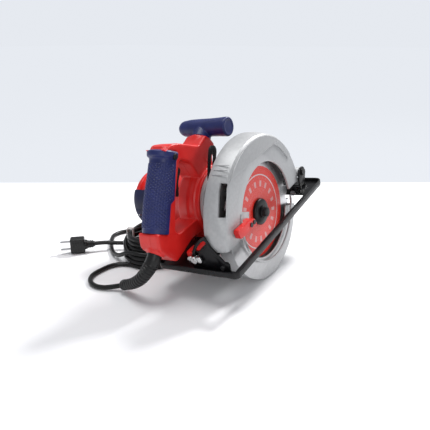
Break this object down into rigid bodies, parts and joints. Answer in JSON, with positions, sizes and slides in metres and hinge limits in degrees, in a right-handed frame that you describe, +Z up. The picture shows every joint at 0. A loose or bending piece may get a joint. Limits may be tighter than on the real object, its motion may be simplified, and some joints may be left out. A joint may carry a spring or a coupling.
{
  "type": "circular saw",
  "caption": "Corded sidewinder circular saw with swinging lower guard, tilting shoe, rear D-handle, front bar grip and coiled cord.",
  "frame": {"origin": "centre of the saw's box on the floor it rests on, measured without the cord and plug", "axes": "+X to the saw's right, outwards past the blade; +Y forwards along the cut; +Z up. The saw rests leaning 8.3 degrees to its motor side with its nose 12 degrees up."},
  "size_m": [0.3402, 0.3359, 0.229],
  "materials": {
    "red_plastic": "glossy moulded plastic",
    "soft_grip": "textured soft grip",
    "dark_vent": "satin",
    "cast_alloy": "die-cast, lightly tumbled",
    "pressed_guard": "satin",
    "blade_steel": "ground plate with a printed centre",
    "carbide": "ground",
    "bright_steel": "zinc plated",
    "plain_steel": "machined",
    "black_steel": "satin black paint",
    "black_oxide": "black oxide",
    "black_plastic": "satin",
    "black_rubber": "soft vinyl sheath",
    "copper": "enamelled winding",
    "brass": "bare",
    "core_steel": "laminated",
    "carbon": "pressed carbon",
    "pale_strap": "soft strap"
  },
  "bodies": {
    "saw_body": {"motor_housing": "red_plastic", "motor_end_cap": "red_plastic", "end_cap_vent": "dark_vent", "handle_shell_left": "red_plastic", "handle_shell_right": "red_plastic", "rear_grip": "soft_grip", "front_grip": "soft_grip", "gear_case": "cast_alloy", "upper_guard": "cast_alloy", "stator_core": "core_steel", "field_coils": "copper", "brush_holders": "brass", "carbon_brushes": "carbon", "brush_caps": "black_plastic", "rear_bearing": "plain_steel", "front_bearing": "plain_steel", "spindle_bearings": "plain_steel", "switch_body": "black_plastic", "handle_screws": "black_oxide", "housing_screws": "black_oxide", "guard_screws": "plain_steel", "guard_spring": "plain_steel", "depth_lock_bolt": "plain_steel", "cord_guard": "black_rubber", "cord_lead": "black_rubber", "cord_loop": "black_rubber", "cord_tail": "black_rubber", "cord_coil": "black_rubber", "cord_tie": "pale_strap", "plug_body": "black_rubber", "plug_prongs": "bright_steel"},
    "blade_set": {"blade": "blade_steel", "carbide_tips": "carbide", "spindle": "plain_steel", "driven_gear": "plain_steel", "inner_flange": "plain_steel", "outer_flange": "black_oxide", "blade_bolt": "black_oxide"},
    "armature": {"armature_shaft": "plain_steel", "pinion": "plain_steel", "armature_core": "core_steel", "commutator": "copper", "cooling_fan": "black_plastic"},
    "lower_guard_set": {"lower_guard": "pressed_guard", "guard_lever": "red_plastic", "lever_screws": "black_oxide"},
    "trigger_key": {"trigger": "black_plastic"},
    "lock_off_key": {"lock_off_button": "black_plastic"},
    "spindle_lock_key": {"spindle_lock": "black_plastic"},
    "depth_carriage": {"front_bracket": "black_steel", "depth_pivot_pin": "black_oxide", "depth_arc": "black_steel", "bevel_pins": "plain_steel", "bevel_bolt": "bright_steel"},
    "shoe": {"shoe_plate": "black_steel", "bevel_quadrant": "black_steel", "fence_guide": "black_steel"},
    "depth_lever_body": {"depth_lever": "red_plastic"},
    "bevel_nut": {"bevel_wing_nut": "bright_steel"},
    "fence_knob": {"fence_screw": "bright_steel"}
  },
  "joints": [
    {"name": "blade_spin", "type": "hinge", "parent": "saw_body", "child": "blade_set", "pos_m": [0.07651, -0.00071, 0.09757], "axis": [0.9895, 0, 0.1444], "continuous": true},
    {"name": "armature_spin", "type": "hinge", "parent": "saw_body", "child": "armature", "pos_m": [-0.02524, -0.02016, 0.10231], "axis": [0.9895, 0, 0.1444], "continuous": true},
    {"name": "lower_guard_swing", "type": "hinge", "parent": "saw_body", "child": "lower_guard_set", "pos_m": [0.07651, -0.00071, 0.09757], "axis": [-0.9895, 0, -0.1444], "range_deg": [0, 120], "stiffness_Nm_per_rad": 0.15, "springref_deg": -114.59},
    {"name": "trigger_pull", "type": "hinge", "parent": "saw_body", "child": "trigger_key", "pos_m": [-0.01045, -0.09936, 0.1741], "axis": [-0.9895, 0, -0.1444], "range_deg": [0, 8], "stiffness_Nm_per_rad": 0.8, "springref_deg": -8.59},
    {"name": "lock_off_press", "type": "slide", "parent": "saw_body", "child": "lock_off_key", "axis": [-0.9895, 0, -0.1444], "range_m": [0, 0.003], "stiffness_N_per_m": 800, "springref_m": -0.002},
    {"name": "spindle_lock_press", "type": "slide", "parent": "saw_body", "child": "spindle_lock_key", "axis": [0.03, -0.9781, -0.2057], "range_m": [0, 0.0035], "stiffness_N_per_m": 1500, "springref_m": -0.003},
    {"name": "depth_swing", "type": "hinge", "parent": "saw_body", "child": "depth_carriage", "pos_m": [0.07167, 0.11382, 0.13076], "axis": [0.9895, 0, 0.1444], "range_deg": [0, 32]},
    {"name": "bevel_tilt", "type": "hinge", "parent": "depth_carriage", "child": "shoe", "pos_m": [0.08336, 0.00355, 0.07831], "axis": [0.03, -0.9781, -0.2057], "range_deg": [0, 45]},
    {"name": "depth_lever_turn", "type": "hinge", "parent": "saw_body", "child": "depth_lever_body", "pos_m": [0.03863, -0.06142, 0.08015], "axis": [-0.9895, 0, -0.1444], "range_deg": [0, 55]},
    {"name": "bevel_nut_turn", "type": "hinge", "parent": "depth_carriage", "child": "bevel_nut", "pos_m": [0.04628, -0.11603, 0.05817], "axis": [0.03, -0.9781, -0.2057], "continuous": true},
    {"name": "fence_screw_turn", "type": "hinge", "parent": "shoe", "child": "fence_knob", "pos_m": [0.06069, 0.13544, 0.10901], "axis": [-0.1412, -0.2079, 0.9679], "continuous": true}
  ],
  "couplings": [
    {"joint": "armature_spin", "follows": "blade_spin", "ratio": -4.2222}
  ]
}
